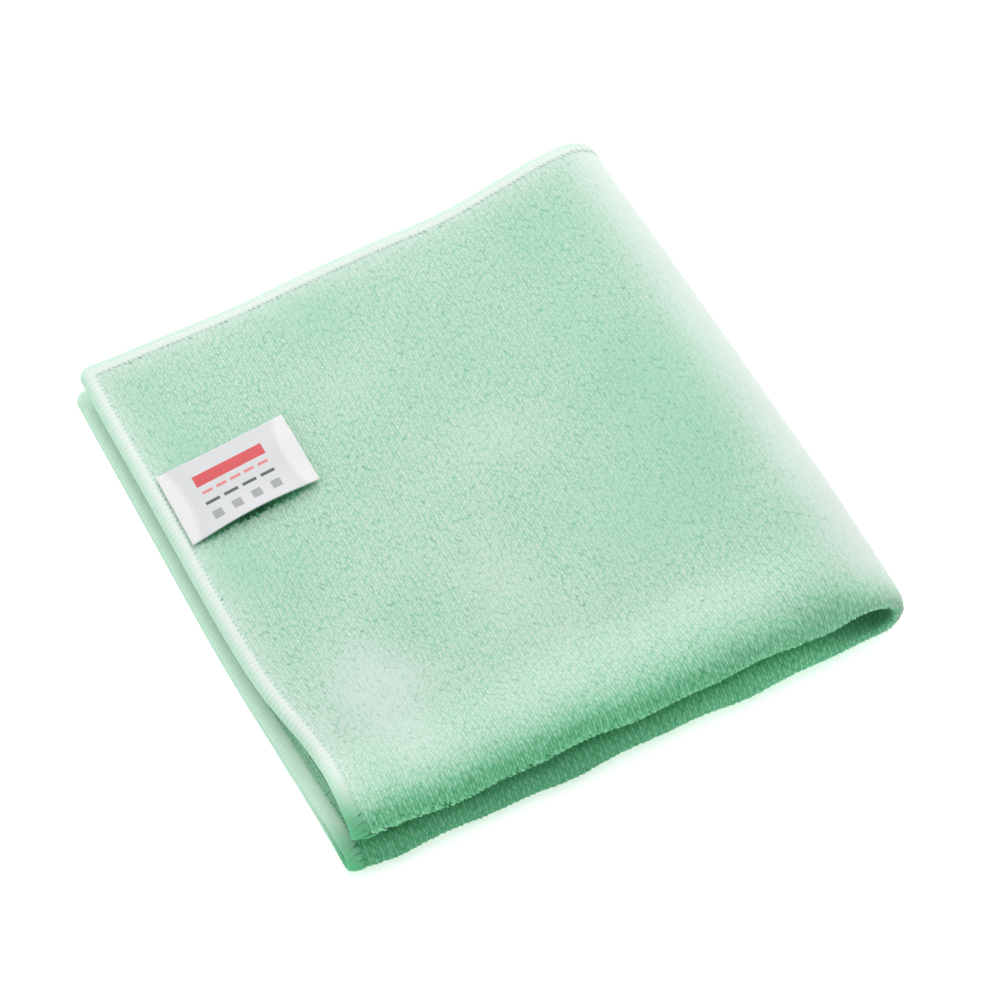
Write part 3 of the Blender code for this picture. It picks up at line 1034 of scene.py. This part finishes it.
# %% Dye the thread
THREAD = (0.60, 0.83, 0.69, 1.0)
THREAD_CREST = (0.86, 0.92, 0.88, 1.0)
THREAD_SEAM_SHADE = (0.38, 0.70, 0.50, 1.0)
THREAD_PAINTED_SHADE = (0.11, 0.50, 0.24, 1.0)
STRANDS = 6
STRAND_BUMP = 0.06 * MM
# Share of a rib's length from its middle, and how steeply the pale crest starts and fades
CREST_START = 0.12
CREST_STEEP = 6.0
CREST_END = 0.33
CREST_FADE = 7.0
# Where a rib's top lies on the way round it, and how soon the seam begins on either side
RIB_TOP = 0.75
SEAM_STEEP = 9.0

thread_finish = Finish("hem_thread", {
    "Roughness": 0.7, "Specular IOR Level": 0.05, "Sheen Weight": 0.1, "Sheen Roughness": 0.4})
around, length, _ = thread_finish.split(thread_finish.place("thread"))
shaded, _, _ = thread_finish.split(thread_finish.place("crease"))
strands = (around * (2 * pi * STRANDS)).sine() * 0.5 + 0.5
off_edge = abs(length - 0.5)
crest_fades = ((off_edge - CREST_END) * CREST_FADE).capped() * 0.85
crest = ((off_edge - CREST_START) * CREST_STEEP).capped() * (1 - crest_fades)
thread = thread_finish.blend(crest * (0.75 + strands * 0.25), THREAD, THREAD_CREST)
# Each rib is palest along its top, and painted greener in the seam with the next, as shade
seam_shade = (abs(around.math("FRACT", around) - RIB_TOP) * SEAM_STEEP - 0.25).capped()
thread = thread_finish.blend(seam_shade * (0.42 - crest * 0.38), thread, THREAD_SEAM_SHADE)
# Painted shade near the front crease and in the groove between the left hems
thread_finish.colour(thread_finish.blend(shaded, thread, THREAD_PAINTED_SHADE))
thread_finish.bump(strands, STRAND_BUMP, 0.4)
for piece in (hem_ribs, *needle_lines):
    paint(piece, thread_finish)

# %% Weave the satin
SHADED_SATIN = (0.71, 0.725, 0.74, 1.0)
FOLDED_END = (0.84, 0.845, 0.84, 1.0)
# In mm from the sewn end: the middle of the print, and how far off it the folded ends begin
TAPE_MIDDLE = 22.5
END_FROM = 16.2
END_BOW = 0.012
# Threads' pitch along and across in mm
WEAVE = (0.35, 0.5)
WEAVE_BUMP = 0.03 * MM

satin = Finish("white_satin", {"Roughness": 0.42, "Specular IOR Level": 0.5,
                               "Sheen Weight": 0.2, "Sheen Roughness": 0.3})
tape_along, tape_across, _ = satin.split(satin.place("flat"))
tape_along = tape_along * (UV_UNIT / MM)
tape_across = tape_across * (UV_UNIT / MM)
# The folded ends of the tape are whiter, and the middle is painted greyer as the shade of the label's
# bow, with a border that bows towards the middle
bowed = END_FROM + abs(tape_across) * abs(tape_across) * END_BOW
ends = ((abs(tape_along - TAPE_MIDDLE) - bowed) * 0.5).capped()
tape = satin.blend(ends, SHADED_SATIN, FOLDED_END)
weave = (tape_along * (2 * pi / WEAVE[0])).sine() * (tape_across * (2 * pi / WEAVE[1])).sine()
satin.bump(weave, WEAVE_BUMP, 0.5)

# %% Print plain marks on the label
RED = (0.72, 0.075, 0.085, 1.0)
PINK = (0.82, 0.26, 0.26, 1.0)
GREY = (0.10, 0.11, 0.11, 1.0)
# In mm: how many, first place along, step, place across, length, width. Then ink, strength
MARKS = (
    (1, 22.5, 0.0, 5.8, 25.0, 4.4, RED, 1.0),
    (5, 12.5, 5.0, 0.9, 3.6, 1.1, PINK, 1.0),
    (4, 12.5, 6.6, -3.2, 5.0, 1.2, GREY, 1.0),
    (4, 12.0, 7.0, -8.6, 3.4, 3.4, GREY, 0.55),
)


def bar(along, across, long, wide):
    """1 inside a plain bar of the label, in millimetres from its sewn end and middle."""
    return (abs(tape_along - along) < long / 2) * (abs(tape_across - across) < wide / 2)


printed = tape
for count, first, step, row, long, wide, ink, strength in MARKS:
    for number in range(count):
        printed = satin.blend(bar(first + step * number, row, long, wide) * strength, printed, ink)
satin.colour(printed)
paint(label, satin)

# %% [markdown]
# ## Attach the pieces and hide the solids
#
# The cloth and the label stand for their solids, which are hidden. Both are sheets, with
# the size they were cut to, and the pile and thread go with the cloth, all attached to the root.

on_the_cloth = [*pile, hem_ribs, *needle_lines]
for piece in (ground, *on_the_cloth):
    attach(piece, "root")
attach(label, "root")
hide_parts("cloth")
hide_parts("label")
print("pieces", len(on_the_cloth) + 2,
      "with", sum(triangles(piece) for piece in (ground, label, *on_the_cloth)), "triangles")
